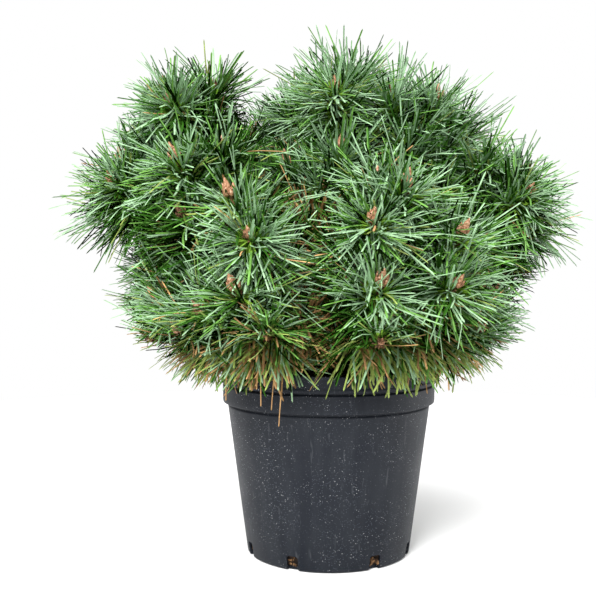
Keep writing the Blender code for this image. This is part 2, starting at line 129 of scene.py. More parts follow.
# Trunk and boughs, as in the frame.
CLEARANCE = 0.0003
TRUNK_FOOT = Vector((0.003, 0.006, MIX_TOP + CLEARANCE))
TRUNK_RADIUS = 0.0135
TRUNK_TIP_RADIUS = 0.0045
FLARE = 0.55
FLARE_HEIGHT = 0.014
TRUNK_BEND = Vector((-0.006, 0.004, 0.0))
BOUGH_RADIUS = 0.0045
BOUGH_TIP_RADIUS = 0.0033
BOUGH_RISE = 0.45
BOUGH_LIFT = Vector((0, 0, 0.25))
BOUGH_LEAVING = 0.9
BOUGH_ARRIVING = 0.8
FOOT_SPACING = 0.0128
FOOT_LOWEST = 0.219
FOOT_STEP = 0.003
TRUNK_RINGS = 12
TRUNK_CROWDING = 1.35
BOUGH_RINGS = 6

# The finer trunk and boughs that are seen, with plates of bark that stand out and cracks that lie back.
FINE_TRUNK_RINGS = 90
FINE_TRUNK_CROWDING = 1.2
FINE_TRUNK_SIDES = 40
FINE_BOUGH_RINGS = 36
FINE_BOUGH_SIDES = 16
PLATE_FINENESS = 95
PLATE_EDGE = 2.2
PLATE_RISE = 0.1
CRACK_DEPTH = 0.07
GRAIN_RISE = 0.04
GRAIN_FINENESS = 260

# Shoots, as in the frame.
SPRING_POINT = Vector((0.0, 0.0, 0.19))
STEM_LENGTH = 0.025
LEAD_LENGTH = 0.09
SIDE_LENGTH = 0.086
SIDE_LENGTH_SHARES = (0.88, 1.08)
SIDE_LEAVING = math.radians(58)
SIDE_SPREAD = math.radians(41)
SIDE_OPENING = 0.45
ROLL_CHANCE = 9
SHOOT_SPACING = 0.04
LIMB_SPACING = 0.002
CORE_RADIUS = 0.0038
BARE_SHARE = 0.24
BUD_SHARE = 0.89
SHOOT_POINTS = 25
LEAD_POINTS = 19
STEM_POINTS = 6

Whorl = namedtuple("Whorl", "name azimuth height reach sides roll")
WHORLS = [Whorl(*row) for row in (
    ("low_front_left", -24, 0.335, 0.24, 3, 15),
    ("low_front_right", 13, 0.34, 0.238, 2, 10),
    ("low_front", -36, 0.297, 0.126, 4, 150),
    ("low_far_right", 72, 0.326, 0.205, 3, -125),
    ("low_far_left", -60, 0.323, 0.229, 4, -55),
    ("mid_right", 38, 0.392, 0.231, 3, -40),
    ("far_right", 87, 0.473, 0.244, 4, 70),
    ("centre_right", 23, 0.443, 0.209, 3, -130),
    ("centre_low_left", -30, 0.434, 0.212, 2, 140),
    ("left_low", -49, 0.416, 0.217, 2, 85),
    ("left", -49, 0.477, 0.225, 4, -85),
    ("far_left", -88, 0.495, 0.259, 4, 115),
    ("centre_left", -42, 0.482, 0.077, 3, -150),
    ("centre", 10, 0.497, 0.086, 3, -70),
    ("top_right", 83, 0.568, 0.134, 2, 150),
    ("top", 60, 0.599, 0.033, 3, 145),
    ("top_left", -90, 0.584, 0.205, 4, -180),
    ("back_low_right", 119, 0.359, 0.212, 4, 45),
    ("back_low", 153, 0.335, 0.222, 3, 50),
    ("back_low_left", -159, 0.325, 0.22, 3, 20),
    ("back_low_far_left", -109, 0.368, 0.26, 3, -55),
    ("back_mid_right", 100, 0.45, 0.229, 3, -55),
    ("back_mid", 168, 0.43, 0.218, 3, 0),
    ("back_mid_left", -158, 0.421, 0.185, 4, -75),
    ("back_far_left", -94, 0.54, 0.229, 3, -180),
    ("back_high_right", 83, 0.516, 0.147, 3, -170),
    ("back_high", 190, 0.56, 0.168, 4, 100),
    ("back_high_left", -166, 0.585, 0.171, 4, -155),
)]
TOP = next(whorl for whorl in WHORLS if whorl.name == "top")
Shoot = namedtuple("Shoot", "whorl points kind")
Limb = namedtuple("Limb", "name points radii")

# The shares of a shoot at which the frame's rings stand; they settle which side shoots find room.
GREEN_SHARE = BUD_SHARE - BARE_SHARE
RING_SHARES = (0.0, *(BARE_SHARE + GREEN_SHARE * k / 3 for k in range(3)), BUD_SHARE, 1.0)

# How far a shoot's tip turns up to the light.
UPTURN = 0.55

# Twigs under the needles: their radii at the foot and at the bud, and their relief's height and fineness.
TWIG_RADII = {"lead": (BOUGH_TIP_RADIUS, 0.0022), "side": (0.0029, 0.0022), "under": (0.0027, 0.0014)}
HIDDEN_TWIG_RADII = (0.0022, 0.0014)
TWIG_END = 0.97
TWIG_GAPS = 12
TWIG_SIDES = 7
TWIG_RELIEF = (0.22, 420)

# Buds: on each shoot's tip a stout one, with small ones that lean out round its foot.
BUD_SCALES = {"lead": (1.06, 1.06), "side": (0.7, 0.94), "under": (0.45, 0.45)}
BUD_PLACE = 0.96
BUD_LENGTH = 0.02
BUD_WIDTH = 0.0044
BUD_SINKING = 0.004
SMALL_BUDS = (4, 5, 6)
SMALL_BUD_LEANS = (0.12, 0.36)
SMALL_BUD_LENGTHS = (0.0085, 0.015)
SMALL_BUD_SINKING = (0.003, 0.006)
SMALL_BUD_REACH = 0.0034
SMALL_BUD_WIDTH = 0.0014
SMALL_BUD_STOUTNESS = 0.13
BUD_LEAST_RADIUS = 0.0001
BUD_RINGS = 10
BUD_SIDES = 8
BUD_RELIEF = (0.26, 850)

# Brown sheaths on the bare neck under each bud.
SHEATHS_ON_NECK = 56
NECK = (0.74, 0.965)
SHEATH_LENGTHS = (0.004, 0.008)
SHEATH_HALF_WIDTH = 0.0008
SHEATH_ROOT = 0.0015

# Needles at life size, in pairs. A chance is a spread about the mean.
NEEDLE_LENGTH = 0.0475
NEEDLE_HALF_WIDTH = 0.0011
NEEDLE_KEEL = 0.95
NEEDLE_ROOT = 0.0018
PAIRS_PER_METRE = 3750
NEEDLE_CROWDING = 0.6
TWIN_SPREAD = 0.12
LENGTH_CHANCE = 0.09
LENGTH_LIMITS = (0.7, 1.15)
WIDTH_SHARES = (0.85, 1.15)
FRINGE_STOUTNESS = 0.98
LEAN_CHANCE = 23
PAIR_BEND_CHANCE = 0.27
NEEDLE_BEND_CHANCE = 0.12
BEND_ALONG_SHOOT = 0.08

# The least lean of a needle from its shoot, in degrees, and the most that chance bends it to a side.
LEAST_LEAN = 24
MOST_BEND = 0.42

# What the needles of one shoot share.
Spray = namedtuple("Spray", "points habit hanging reach stoutness droop dryness dead_share yellowing tone")

# The rings of a needle's blade, as shares of its length and width: bent blades outside, straight ones inside.
BENT_BLADE = ((0.0, 0.8), (0.34, 1.0), (0.68, 1.0), (0.975, 0.9))
STRAIGHT_BLADE = ((0.0, 0.95), (0.96, 0.95))
NEARLY_UPRIGHT = 0.9
HIDDEN_KINDS = ("inner", "dry")

# Whorls with longer needles than the others, by their share, and whorls whose needles get painted shade: a
# darker tone for how light falls on their side of the crown.
VIGOUR = {
    "low_front_left": 1.16,
    "low_front_right": 1.16,
    "mid_right": 1.1,
    "centre_right": 1.06,
    "top": 1.14,
    "top_right": 1.12,
    "back_high_right": 1.06,
}
PAINTED_SHADE_BY_WHORL = {"left": 0.16, "left_low": 0.16, "far_left": 0.09, "low_front_right": 0.06}
# Painted shade: inner shoots inside the crown and under shoots beneath it get a darker tone.
PAINTED_SHADE_BY_KIND = {"inner": 0.47, "under": 0.16}

# A tint has its colour, roughness and specular level.
TINTS = {
    "glaucous": ((0.228, 0.366, 0.206), 0.36, 0.4),
    "fresh": ((0.106, 0.244, 0.045), 0.38, 0.18),
    "green": ((0.02, 0.074, 0.006), 0.45, 0.06),
    # Painted shade: the near-black last tint stands for needles in the shade deep in the crown.
    "deep": ((0.003, 0.01, 0.0005), 0.6, 0.01),
    "yellowing": ((0.225, 0.29, 0.07), 0.45, 0.2),
    "dead": ((0.255, 0.15, 0.062), 0.6, 0.14),
    "straw": ((0.56, 0.33, 0.14), 0.6, 0.24),
}
PALE_FOOTED = ("glaucous", "fresh")
NEEDLE_FOOT = ((0.175, 0.33, 0.035), 0.45, 0.1)

# A needle's brightness: its shoot's tone, more toward the bud, and chance; the fall toward the shoot's foot,
# deep in the crown, is partly painted shade and partly the fresher needles near the bud. Above a step it has
# that tint, and below every step the near-black tint of painted shade.
TONE = 0.24
TONE_CHANCE = 0.09
BUD_BRIGHTNESS = 0.66
NEEDLE_CHANCE = 0.31
TINT_STEPS = ((0.76, "glaucous"), (0.55, "fresh"), (0.31, "green"))

# How needles stand on each kind of shoot (one that points down is an under shoot): the shares between which
# they grow, how many and how long they are, their lean at the shoot's foot and at its bud in degrees, how far
# they droop, and the shares of them that are dry and yellowing.
Habit = namedtuple("Habit", "first last density length foot_lean bud_lean droop dryness yellowing")
HABITS = {
    "lead": Habit(0.38, 0.835, 1.0, 1.0, 87, 58, 0.1, 0.012, 0.02),
    "side": Habit(0.14, 0.845, 1.0, 1.0, 87, 56, 0.1, 0.012, 0.02),
    "under": Habit(0.14, 0.93, 0.75, 0.85, 64, 28, 0.34, 0.05, 0.14),
    "inner": Habit(0.14, 0.95, 0.78, 0.82, 88, 35, 0.04, 0.24, 0.05),
    "dry": Habit(0.2, 0.97, 0.5, 0.78, 80, 34, 0.1, 0.85, 0.05),
    "fringe": Habit(0.4, 0.97, 0.34, 0.96, 62, 36, 0.7, 0.09, 0.46),
    "dry_fringe": Habit(0.3, 0.97, 0.4, 0.96, 66, 38, 0.62, 0.36, 0.4),
}

# Inner shoots: weak ones that the boughs carry under the crown's outside. Some of them are dry.
INNER_SHARES = (0.3, 0.46, 0.61, 0.75, 0.88)
TRUNK_SHARES = (0.5, 0.58, 0.66, 0.73, 0.8, 0.86, 0.91)
INNER_LENGTH = 0.062
INNER_LENGTH_SHARES = (0.8, 1.15)
INNER_RISE = 0.45
INNER_OUT = 0.85
INNER_ALONG = 0.5
INNER_ARRIVING = 0.7
INNER_LOWEST = 0.285
DRY_LOWEST = 0.315
DRY_SHARE = 0.12

# Dry needles sit rather at a shoot's foot: their share there, and how much less it is at the bud.
FOOT_DRYNESS = 1.25
DRYNESS_FALL = 0.5

# Below this height and above it, where there is more light: how dry shoots are, and how much of that is dead.
DRY_HEIGHT = 0.42
DRYNESS = (1.0, 0.3)
DEAD_SHARE = (0.62, 0.95)

# Needles on low shoots droop, and more of them are dry or yellowing.
LOW_HEIGHT = 0.34
LOW_FADE = 0.08
LOW_DRYNESS = 0.05
LOW_YELLOWING = 0.08
LOW_DROOP = 0.05

# Dry sprays deep in the crown: azimuth in degrees, height and reach of the tip.
DRY_TIPS = (
    (-9, 0.4, 0.12), (-3, 0.345, 0.125), (-12, 0.3, 0.15), (-63, 0.395, 0.185),
    (60, 0.35, 0.17), (118, 0.36, 0.15), (172, 0.37, 0.15), (-135, 0.37, 0.15),
)
DRY_SPRAY_RISE = 0.1
DRY_SPRAY_LOWEST = 0.225
DRY_SPRAY_ARRIVING = 0.8

# Weak shoots that hang over the container's rim, by azimuth in degrees, from the boughs of the low whorls.
FRINGE_AZIMUTHS = (-68, -57, -41, -21, 12, 21, 28, 36, 47, 75, 96, 118, 140, 171, -165, -148, -122, -100, -82)
DRY_FRINGE_AZIMUTHS = (-62, -51, -45, -37, -32, -26, 60, 107, -155)
FRINGE_REACH = 0.168
FRINGE_HEIGHT = 0.262
FRINGE_FALL = 0.35
FRINGE_START = 0.55
LOW_WHORLS_BELOW = 0.35

# How low needles reach over the rim, on the crown and on the shoots that hang. Farther out the least height
# rises, and chance makes it ragged.
LOWEST_TIP = 0.205
LOWEST_HANGING_TIP = 0.195
RIM_REACH = 0.14
UNDERSIDE_SLOPE = 0.5
HANGING_SLOPE = 0.3
RAGGEDNESS = 0.024
POT_MARGIN = 0.002

# A pale needle's yellow foot, and the most triangles in a piece.
FOOT_TRIANGLES = 4
TRIANGLES_IN_PIECE = 190000

# Long dead needles in front of the container: azimuth, reach and height of the root, and of the tip.
HANGING = (
    ((-18, 0.163, 0.226), (-20.5, 0.16, 0.177)),
    ((-21, 0.166, 0.23), (-23, 0.163, 0.195)),
    ((-26, 0.168, 0.238), (-27, 0.166, 0.199)),
    ((-40, 0.176, 0.24), (-41, 0.176, 0.203)),
)
HANGING_BEND = 0.03


def clamped(value, least, most):
    return min(max(value, least), most)


def bent(start, leaving, arriving, end, count):
    """Points along the cubic that leaves start along one vector and reaches end along the other."""
    shares = [i / (count - 1) for i in range(count)]
    return [
        start * (2 * t**3 - 3 * t**2 + 1)
        + leaving * (t**3 - 2 * t**2 + t)
        + arriving * (t**3 - t**2)
        + end * (3 * t**2 - 2 * t**3)
        for t in shares
    ]


def shoot_point(points, share):
    """The point and direction at a share of the way along a list of points."""
    place = share * (len(points) - 1)
    low = min(int(place), len(points) - 2)
    along = (points[low + 1] - points[low]).normalized()
    return points[low].lerp(points[low + 1], place - low), along


def polar(azimuth, reach, height):
    """A point by its azimuth in degrees, from the front toward the right, its reach and its height."""
    turn = math.radians(azimuth)
    return Vector((reach * math.sin(turn), -reach * math.cos(turn), height))


def around(along, turn, side=None):
    """The direction across along that lies a turn from side, or from any direction across it."""
    if side is None:
        side = along.orthogonal().normalized()
    return side * math.cos(turn) + along.cross(side) * math.sin(turn)


def lead_bud(whorl):
    return polar(whorl.azimuth, whorl.reach, whorl.height)


def axis_of(whorl):
    return (lead_bud(whorl) - SPRING_POINT).normalized()


def fork_of(whorl):
    return lead_bud(whorl) - axis_of(whorl) * LEAD_LENGTH


def stem_foot(whorl):
    return fork_of(whorl) - axis_of(whorl) * STEM_LENGTH


def trunk_share(height):
    return (height - TRUNK_FOOT.z) / (stem_foot(TOP).z - TRUNK_FOOT.z)


def trunk_centre(height):
    share = trunk_share(height)
    return TRUNK_FOOT.lerp(stem_foot(TOP), share) + TRUNK_BEND * math.sin(math.pi * share)


def trunk_radius(height):
    flare = FLARE * math.exp(-(height - TRUNK_FOOT.z) / FLARE_HEIGHT)
    return (TRUNK_RADIUS + (TRUNK_TIP_RADIUS - TRUNK_RADIUS) * trunk_share(height)) * (1 + flare)


def across(whorl):
    axis = axis_of(whorl)
    up = (UP - axis * axis.z).normalized()
    return up, up.cross(axis)


def foot_is_crowded(height, azimuth, placed):
    girth = 2 * trunk_radius(height)
    return any(math.hypot(height - z, girth * math.sin((azimuth - a) / 2)) < FOOT_SPACING for z, a in placed)


def foot_heights():
    """The height at which each bough leaves the trunk, clear of the feet already there."""
    feet, placed, wanted = {}, [], []
    for whorl in WHORLS:
        if whorl is not TOP:
            foot = stem_foot(whorl)
            height = foot.z - BOUGH_RISE * math.hypot(foot.x, foot.y)
            wanted.append((max(height, FOOT_LOWEST), whorl))
    for height, whorl in sorted(wanted, key=lambda entry: (entry[0], entry[1].name)):
        azimuth = math.radians(whorl.azimuth)
        while foot_is_crowded(height, azimuth, placed):
            height += FOOT_STEP
        placed.append((height, azimuth))
        feet[whorl.name] = height
    return feet


def trunk_limb(top, rings, crowding):
    """The trunk up to a height, with rings that crowd toward its foot."""
    heights = [TRUNK_FOOT.z + (top - TRUNK_FOOT.z) * (i / (rings - 1)) ** crowding for i in range(rings)]
    return Limb("trunk", [trunk_centre(h) for h in heights], [trunk_radius(h) for h in heights])


def frame_trunk():
    return trunk_limb(stem_foot(TOP).z - CLEARANCE / 2, TRUNK_RINGS, TRUNK_CROWDING)


def bough_limbs(rings):
    limbs = []
    feet = foot_heights()
    for whorl in WHORLS:
        if whorl is TOP:
            continue
        axis = axis_of(whorl)
        start = trunk_centre(feet[whorl.name])
        end = stem_foot(whorl) - axis * CLEARANCE / 2
        reach = (end - start).length
        outward = Vector((end.x - start.x, end.y - start.y, 0)).normalized()
        leaving = (outward + BOUGH_LIFT).normalized() * reach * BOUGH_LEAVING
        points = bent(start, leaving, axis * reach * BOUGH_ARRIVING, end, rings)
        radii = list(np.linspace(BOUGH_RADIUS, BOUGH_TIP_RADIUS, rings))
        limbs.append(Limb("bough_" + whorl.name, points, radii))
    return limbs


def space_around(points, limbs):
    """The least distance from any of the points to the bark of any of the limbs."""
    least = math.inf
    for limb in limbs:
        for a, b, radius in zip(limb.points, limb.points[1:], limb.radii):
            span = b - a
            for point in points:
                share = clamped((point - a).dot(span) / span.dot(span), 0.0, 1.0)
                least = min(least, (point - a - span * share).length - radius)
    return least


def turned_up(direction):
    return (direction + UP * UPTURN).normalized()


def lead_shoot(whorl):
    axis, fork, bud = axis_of(whorl), fork_of(whorl), lead_bud(whorl)
    stem = [stem_foot(whorl).lerp(fork, i / STEM_POINTS) for i in range(STEM_POINTS)]
    lead = bent(fork, axis * LEAD_LENGTH, turned_up(axis) * LEAD_LENGTH, bud, LEAD_POINTS)
    return Shoot(whorl.name, stem + lead, "lead")


def shoots_of_crown(obstacles):
    """The frame's shoots: each whorl's lead, then the side shoots that found room beside it."""
    chance = random.Random(SEED)
    tips, limbs = [], list(obstacles)
    for whorl in WHORLS:
        tips.append(lead_bud(whorl))
        spine = [stem_foot(whorl), fork_of(whorl), lead_bud(whorl)]
        limbs.append(Limb(whorl.name, spine, [CORE_RADIUS] * 3))
    sides = []
    for whorl in WHORLS:
        up, right = across(whorl)
        axis, fork = axis_of(whorl), fork_of(whorl)
        for number in range(whorl.sides):
            roll = whorl.roll + 360 * number / whorl.sides + chance.uniform(-ROLL_CHANCE, ROLL_CHANCE)
            roll = math.radians(roll)
            length = SIDE_LENGTH * chance.uniform(*SIDE_LENGTH_SHARES)
            outward = up * math.cos(roll) + right * math.sin(roll)
            leaving = (axis * math.cos(SIDE_LEAVING) + outward * math.sin(SIDE_LEAVING)) * length
            bud = fork + (axis * math.cos(SIDE_SPREAD) + outward * math.sin(SIDE_SPREAD)) * length
            arriving = (axis + outward * math.tan(SIDE_SPREAD) * SIDE_OPENING).normalized()
            fine = bent(fork, leaving, arriving * length, bud, SHOOT_POINTS)
            strangers = [limb for limb in limbs if limb.name not in (whorl.name, "bough_" + whorl.name)]
            crowded = min((bud - tip).length for tip in tips) < SHOOT_SPACING
            if crowded or space_around(fine[1:], strangers) < CORE_RADIUS + LIMB_SPACING:
                continue
            tips.append(bud)
            rings = [fine[round(share * (SHOOT_POINTS - 1))] for share in RING_SHARES]
            limbs.append(Limb(whorl.name, rings, [CORE_RADIUS] * len(rings)))
            points = bent(fork, leaving, turned_up(arriving) * length, bud, SHOOT_POINTS)
            sides.append(Shoot(whorl.name, points, "side" if bud.z > fork.z else "under"))
    return [lead_shoot(whorl) for whorl in WHORLS], sides


def inner_shoots(boughs):
    """Short shoots along the boughs, spread round each by the golden angle, under the crown's outside."""
    chance = random.Random(SEED + 4)
    made = []
    turn = 0.0
    for limb in [frame_trunk(), *boughs]:
        for share in TRUNK_SHARES if limb.name == "trunk" else INNER_SHARES:
            start, along = shoot_point(limb.points, share)
            turn += GOLDEN_ANGLE
            out = (around(along, turn) + UP * INNER_RISE).normalized()
            length = INNER_LENGTH * chance.uniform(*INNER_LENGTH_SHARES)
            tip = start + (out * INNER_OUT + along * INNER_ALONG) * length
            kind = "dry" if chance.random() < DRY_SHARE else "inner"
            if tip.z > (DRY_LOWEST if kind == "dry" else INNER_LOWEST):
                points = bent(start, out * length, along * length * INNER_ARRIVING, tip, SHOOT_POINTS)
                made.append(Shoot(limb.name, points, kind))
    return made


def dry_shoots():
    """Dead shoots on the trunk, which fill the hollows between the whorls."""
    made = []
    for azimuth, height, reach in DRY_TIPS:
        tip = polar(azimuth, reach, height)
        start = trunk_centre(max(height - DRY_SPRAY_RISE, DRY_SPRAY_LOWEST))
        out = Vector((tip.x - start.x, tip.y - start.y, 0))
        points = bent(start, out, (tip - start) * DRY_SPRAY_ARRIVING, tip, SHOOT_POINTS)
        made.append(Shoot("trunk", points, "dry"))
    return made


def fringe_shoots(boughs):
    """Weak shoots from the lowest boughs that end just outside the container's rim."""
    low = {whorl.name: whorl.azimuth for whorl in WHORLS if whorl.height < LOW_WHORLS_BELOW}
    made = []
    for azimuth in FRINGE_AZIMUTHS + DRY_FRINGE_AZIMUTHS:
        nearest = min(low, key=lambda name: abs((low[name] - azimuth + 180) % 360 - 180))
        limb = next(bough for bough in boughs if bough.name == "bough_" + nearest)
        start, along = shoot_point(limb.points, FRINGE_START)
        tip = polar(azimuth, FRINGE_REACH, FRINGE_HEIGHT)
        out = (tip - start).length
        level = Vector((tip.x, tip.y, 0)).normalized()
        points = bent(start, along * out, (level - UP * FRINGE_FALL) * out, tip, SHOOT_POINTS)
        made.append(Shoot(limb.name, points, "dry_fringe" if azimuth in DRY_FRINGE_AZIMUTHS else "fringe"))
    return made


# Materials.


def new_material(name, colour, roughness, specular):
    made = bpy.data.materials.new(name)
    made.use_nodes = True
    shader = made.node_tree.nodes["Principled BSDF"]
    shader.inputs["Base Color"].default_value = (*colour, 1.0)
    shader.inputs["Roughness"].default_value = roughness
    shader.inputs["Specular IOR Level"].default_value = specular
    return made


def add_node(material, kind, links=(), **values):
    """Adds a node, sets its inputs and properties by name, and links (output socket, input name) pairs."""
    tree = material.node_tree
    node = tree.nodes.new(kind)
    for name, value in values.items():
        if hasattr(node, name):
            setattr(node, name, value)
        else:
            node.inputs[name.replace("_", " ")].default_value = value
    for socket, name in links:
        tree.links.new(socket, node.inputs[name])
    return node


def ramp(material, socket, stops):
    """Maps a value to colours from (position, colour) stops, where a colour of one number is a grey."""
    node = add_node(material, "ShaderNodeValToRGB", [(socket, "Fac")])
    elements = node.color_ramp.elements
    while len(elements) < len(stops):
        elements.new(0.5)
    for element, (position, colour) in zip(elements, stops):
        element.position = position
        element.color = (*colour, 1.0) if len(colour) == 3 else (colour[0],) * 3 + (1.0,)
    return node.outputs["Color"]


def mixed(material, share, first, second):
    node = material.node_tree.nodes.new("ShaderNodeMix")
    node.data_type = "RGBA"
    for socket, value in zip((node.inputs[0], node.inputs[6], node.inputs[7]), (share, first, second)):
        if isinstance(value, bpy.types.NodeSocket):
            material.node_tree.links.new(value, socket)
        elif isinstance(value, tuple):
            socket.default_value = (*value, 1.0)
        else:
            socket.default_value = value
    return node.outputs[2]


def product(material, first, second):
    node = add_node(material, "ShaderNodeMath", [(first, 0), (second, 1)], operation="MULTIPLY")
    return node.outputs[0]


def noise_texture(material, place, scale, detail):
    node = add_node(material, "ShaderNodeTexNoise", [(place, "Vector")], Scale=scale, Detail=detail)
    return node.outputs["Fac"]


def to_shader(material, socket, name):
    material.node_tree.links.new(socket, material.node_tree.nodes["Principled BSDF"].inputs[name])


def place_in(material, stretch=(1, 1, 1)):
    """Object coordinates in metres, stretched along the axes."""
    source = material.node_tree.nodes.new("ShaderNodeTexCoord").outputs["Object"]
    node = add_node(material, "ShaderNodeMapping", [(source, "Vector")])
    node.inputs["Scale"].default_value = stretch
    return node.outputs["Vector"]


def bump(material, height, strength, distance):
    node = add_node(material, "ShaderNodeBump", [(height, "Height")])
    node.inputs["Strength"].default_value = strength
    node.inputs["Distance"].default_value = distance
    to_shader(material, node.outputs["Normal"], "Normal")


def grained_material(name, colour, roughness, specular, grain, stops, relief):
    """A rough material, coloured and raised by one noise, which has a scale, detail, strength and depth."""
    made = new_material(name, colour, roughness, specular)
    height = noise_texture(made, place_in(made), *grain)
    to_shader(made, ramp(made, height, stops), "Base Color")
    bump(made, height, *relief)
    return made


def plastic_material():
    """Black moulded plastic: faint clouds and upright streaks, a dusting of pale specks, and scratches."""
    made = new_material("moulded_plastic", (0.01, 0.013, 0.018), 0.46, 0.17)
    place = place_in(made)
    cloud = noise_texture(made, place, 22.0, 7.0)
    clouded = ramp(made, cloud, [(0.36, (0.0034, 0.0052, 0.0096)), (0.64, (0.0092, 0.0116, 0.016))])
    streak = noise_texture(made, place_in(made, (80, 80, 5)), 1.0, 6.0)
    streaked = ramp(made, streak, [(0.38, (0.003, 0.0046, 0.0082)), (0.68, (0.0115, 0.0138, 0.018))])
    colour = mixed(made, 0.45, clouded, streaked)
    dusty = ramp(made, noise_texture(made, place, 17.0, 4.0), [(0.36, (0.1,)), (0.62, (1.0,))])
    for scale, size, speck in ((620.0, 0.19, (0.09, 0.1, 0.12)), (370.0, 0.095, (0.58, 0.59, 0.61))):
        cells = add_node(made, "ShaderNodeTexVoronoi", [(place, "Vector")], Scale=scale)
        cell_colour = add_node(made, "ShaderNodeSeparateColor", [(cells.outputs["Color"], "Color")])
        some = ramp(made, cell_colour.outputs["Red"], [(0.44, (0.0,)), (0.58, (1.0,))])
        dots = ramp(made, cells.outputs["Distance"], [(size, (1.0,)), (size + 0.05, (0.0,))])
        colour = mixed(made, product(made, product(made, dots, dusty), some), colour, speck)
    scratch = noise_texture(made, place_in(made, (240, 240, 22)), 1.0, 2.0)
    scratched = ramp(made, scratch, [(0.66, (0.0,)), (0.74, (0.55,))])
    to_shader(made, mixed(made, scratched, colour, (0.042, 0.046, 0.052)), "Base Color")
    to_shader(made, ramp(made, cloud, [(0.3, (0.44,)), (0.7, (0.58,))]), "Roughness")
    bump(made, noise_texture(made, place, 900.0, 3.0), 0.12, 0.0003)
    return made


def bark_material():
    made = new_material("bark", (0.2, 0.11, 0.06), 0.85, 0.25)
    place = place_in(made)
    plates = add_node(made, "ShaderNodeTexVoronoi", [(place, "Vector")], Scale=170.0)
    rough = noise_texture(made, place, 300.0, 8.0)
    colours = [(0.3, (0.06, 0.034, 0.022)), (0.55, (0.2, 0.105, 0.055)), (0.8, (0.38, 0.23, 0.14))]
    edges = ramp(made, plates.outputs["Distance"], [(0.0, (0.9,)), (0.55, (0.25,))])
    to_shader(made, mixed(made, edges, (0.045, 0.027, 0.018), ramp(made, rough, colours)), "Base Color")
    bump(made, rough, 0.8, 0.001)
    return made


def twig_material():
    colours = [(0.3, (0.075, 0.04, 0.02)), (0.6, (0.22, 0.12, 0.058)), (0.85, (0.36, 0.22, 0.12))]
    return grained_material("twig", (0.34, 0.19, 0.09), 0.75, 0.3, (420.0, 5.0), colours, (0.6, 0.0006))


def bud_material():
    colours = [
        (0.3, (0.11, 0.045, 0.02)),
        (0.46, (0.27, 0.125, 0.062)),
        (0.6, (0.41, 0.225, 0.13)),
        (0.74, (0.6, 0.44, 0.32)),
    ]
    return grained_material("bud", (0.5, 0.25, 0.17), 0.6, 0.35, (460.0, 3.0), colours, (0.9, 0.0008))


def mix_material():
    colours = [(0.34, (0.004, 0.003, 0.002)), (0.52, (0.02, 0.011, 0.006)), (0.72, (0.08, 0.042, 0.02))]
    return grained_material("bark_mix", (0.03, 0.016, 0.009), 0.9, 0.2, (160.0, 8.0), colours, (0.9, 0.002))


def flake_material():
    plain = (0.22, 0.11, 0.045)
    colours = [(0.38, (0.02, 0.01, 0.005)), (0.56, (0.12, 0.062, 0.026)), (0.74, (0.38, 0.225, 0.11))]
    return grained_material("bark_flake", plain, 0.85, 0.2, (260.0, 5.0), colours, (0.7, 0.0008))


def needle_material(tint):
    """A needle's tint, darker and lighter by patches."""
    colour, roughness, specular = TINTS[tint]
    made = new_material("needle_" + tint, colour, roughness, specular)
    patch = noise_texture(made, place_in(made), 90.0, 3.0)
    darker = tuple(0.72 * value for value in colour)
    lighter = tuple(min(1.0, 1.22 * value) for value in colour)
    to_shader(made, ramp(made, patch, [(0.35, darker), (0.65, lighter)]), "Base Color")
    return made


def paper_material():
    return new_material("paper", (0.84, 0.84, 0.84), 0.9, 0.1)


# Meshes.


def linked(name, data):
    """An object in the scene, with this mesh, lamp or camera."""
    made = bpy.data.objects.new(name, data)
    bpy.context.scene.collection.objects.link(made)
    return made


def object_from(name, mesh, material):
    """An object from a bmesh, which it frees."""
    data = bpy.data.meshes.new(name)
    mesh.to_mesh(data)
    mesh.free()
    data.materials.append(material)
    return linked(name, data)


def new_object(name, vertices, faces, material):
    """A smooth object from lists of points and faces."""
    mesh = bpy.data.meshes.new(name)
    mesh.from_pydata(vertices, [], faces)
    mesh.materials.append(material)
    mesh.shade_smooth()
    return linked(name, mesh)


def rides(piece, slot, *nodes):
    """Attaches a piece to the root body, and hides the nodes that it stands in place of. The slot is not used.
    """
    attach(piece, "root")
    if nodes:
        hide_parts(*nodes)
    return piece


def tube_faces(rings, sides):
    faces = [tuple(reversed(range(sides))), tuple((rings - 1) * sides + k for k in range(sides))]
    for low in range(0, (rings - 1) * sides, sides):
        for k in range(sides):
            after = (k + 1) % sides
            faces.append((low + k, low + after, low + sides + after, low + sides + k))
    return faces


def tube(points, radii, sides, relief):
    """Vertices and faces of a closed tube; relief is the share by which a vertex is pushed out."""
    vertices = []
    side = None
    for i, (point, radius) in enumerate(zip(points, radii)):
        along = (points[min(i + 1, len(points) - 1)] - points[max(i - 1, 0)]).normalized()
        if side is None:
            side = along.orthogonal()
        side = (side - along * side.dot(along)).normalized()
        for k in range(sides):
            out = around(along, 2 * math.pi * k / sides, side)
            vertices.append(point + out * radius * (1 + relief(point + out * radius)))
    return vertices, tube_faces(len(points), sides)


def joined(name, parts, material):
    """One object from several (vertices, faces) pairs."""
    vertices, faces = [], []
    for more, polygons in parts:
        base = len(vertices)
        vertices += more
        faces += [tuple(base + k for k in polygon) for polygon in polygons]
    return new_object(name, vertices, faces, material)


def bark_relief(point):
    """Plates and cracks, as a share of the limb's radius."""
    cells = noise.voronoi(point * PLATE_FINENESS)[0]
    plate = min((cells[1] - cells[0]) * PLATE_EDGE, 1.0)
    return PLATE_RISE * plate - CRACK_DEPTH + GRAIN_RISE * noise.noise(point * GRAIN_FINENESS)


def plain_relief(height, fineness):
    """A relief of one noise, as a share of the radius."""
    return lambda point: height * noise.noise(point * fineness)


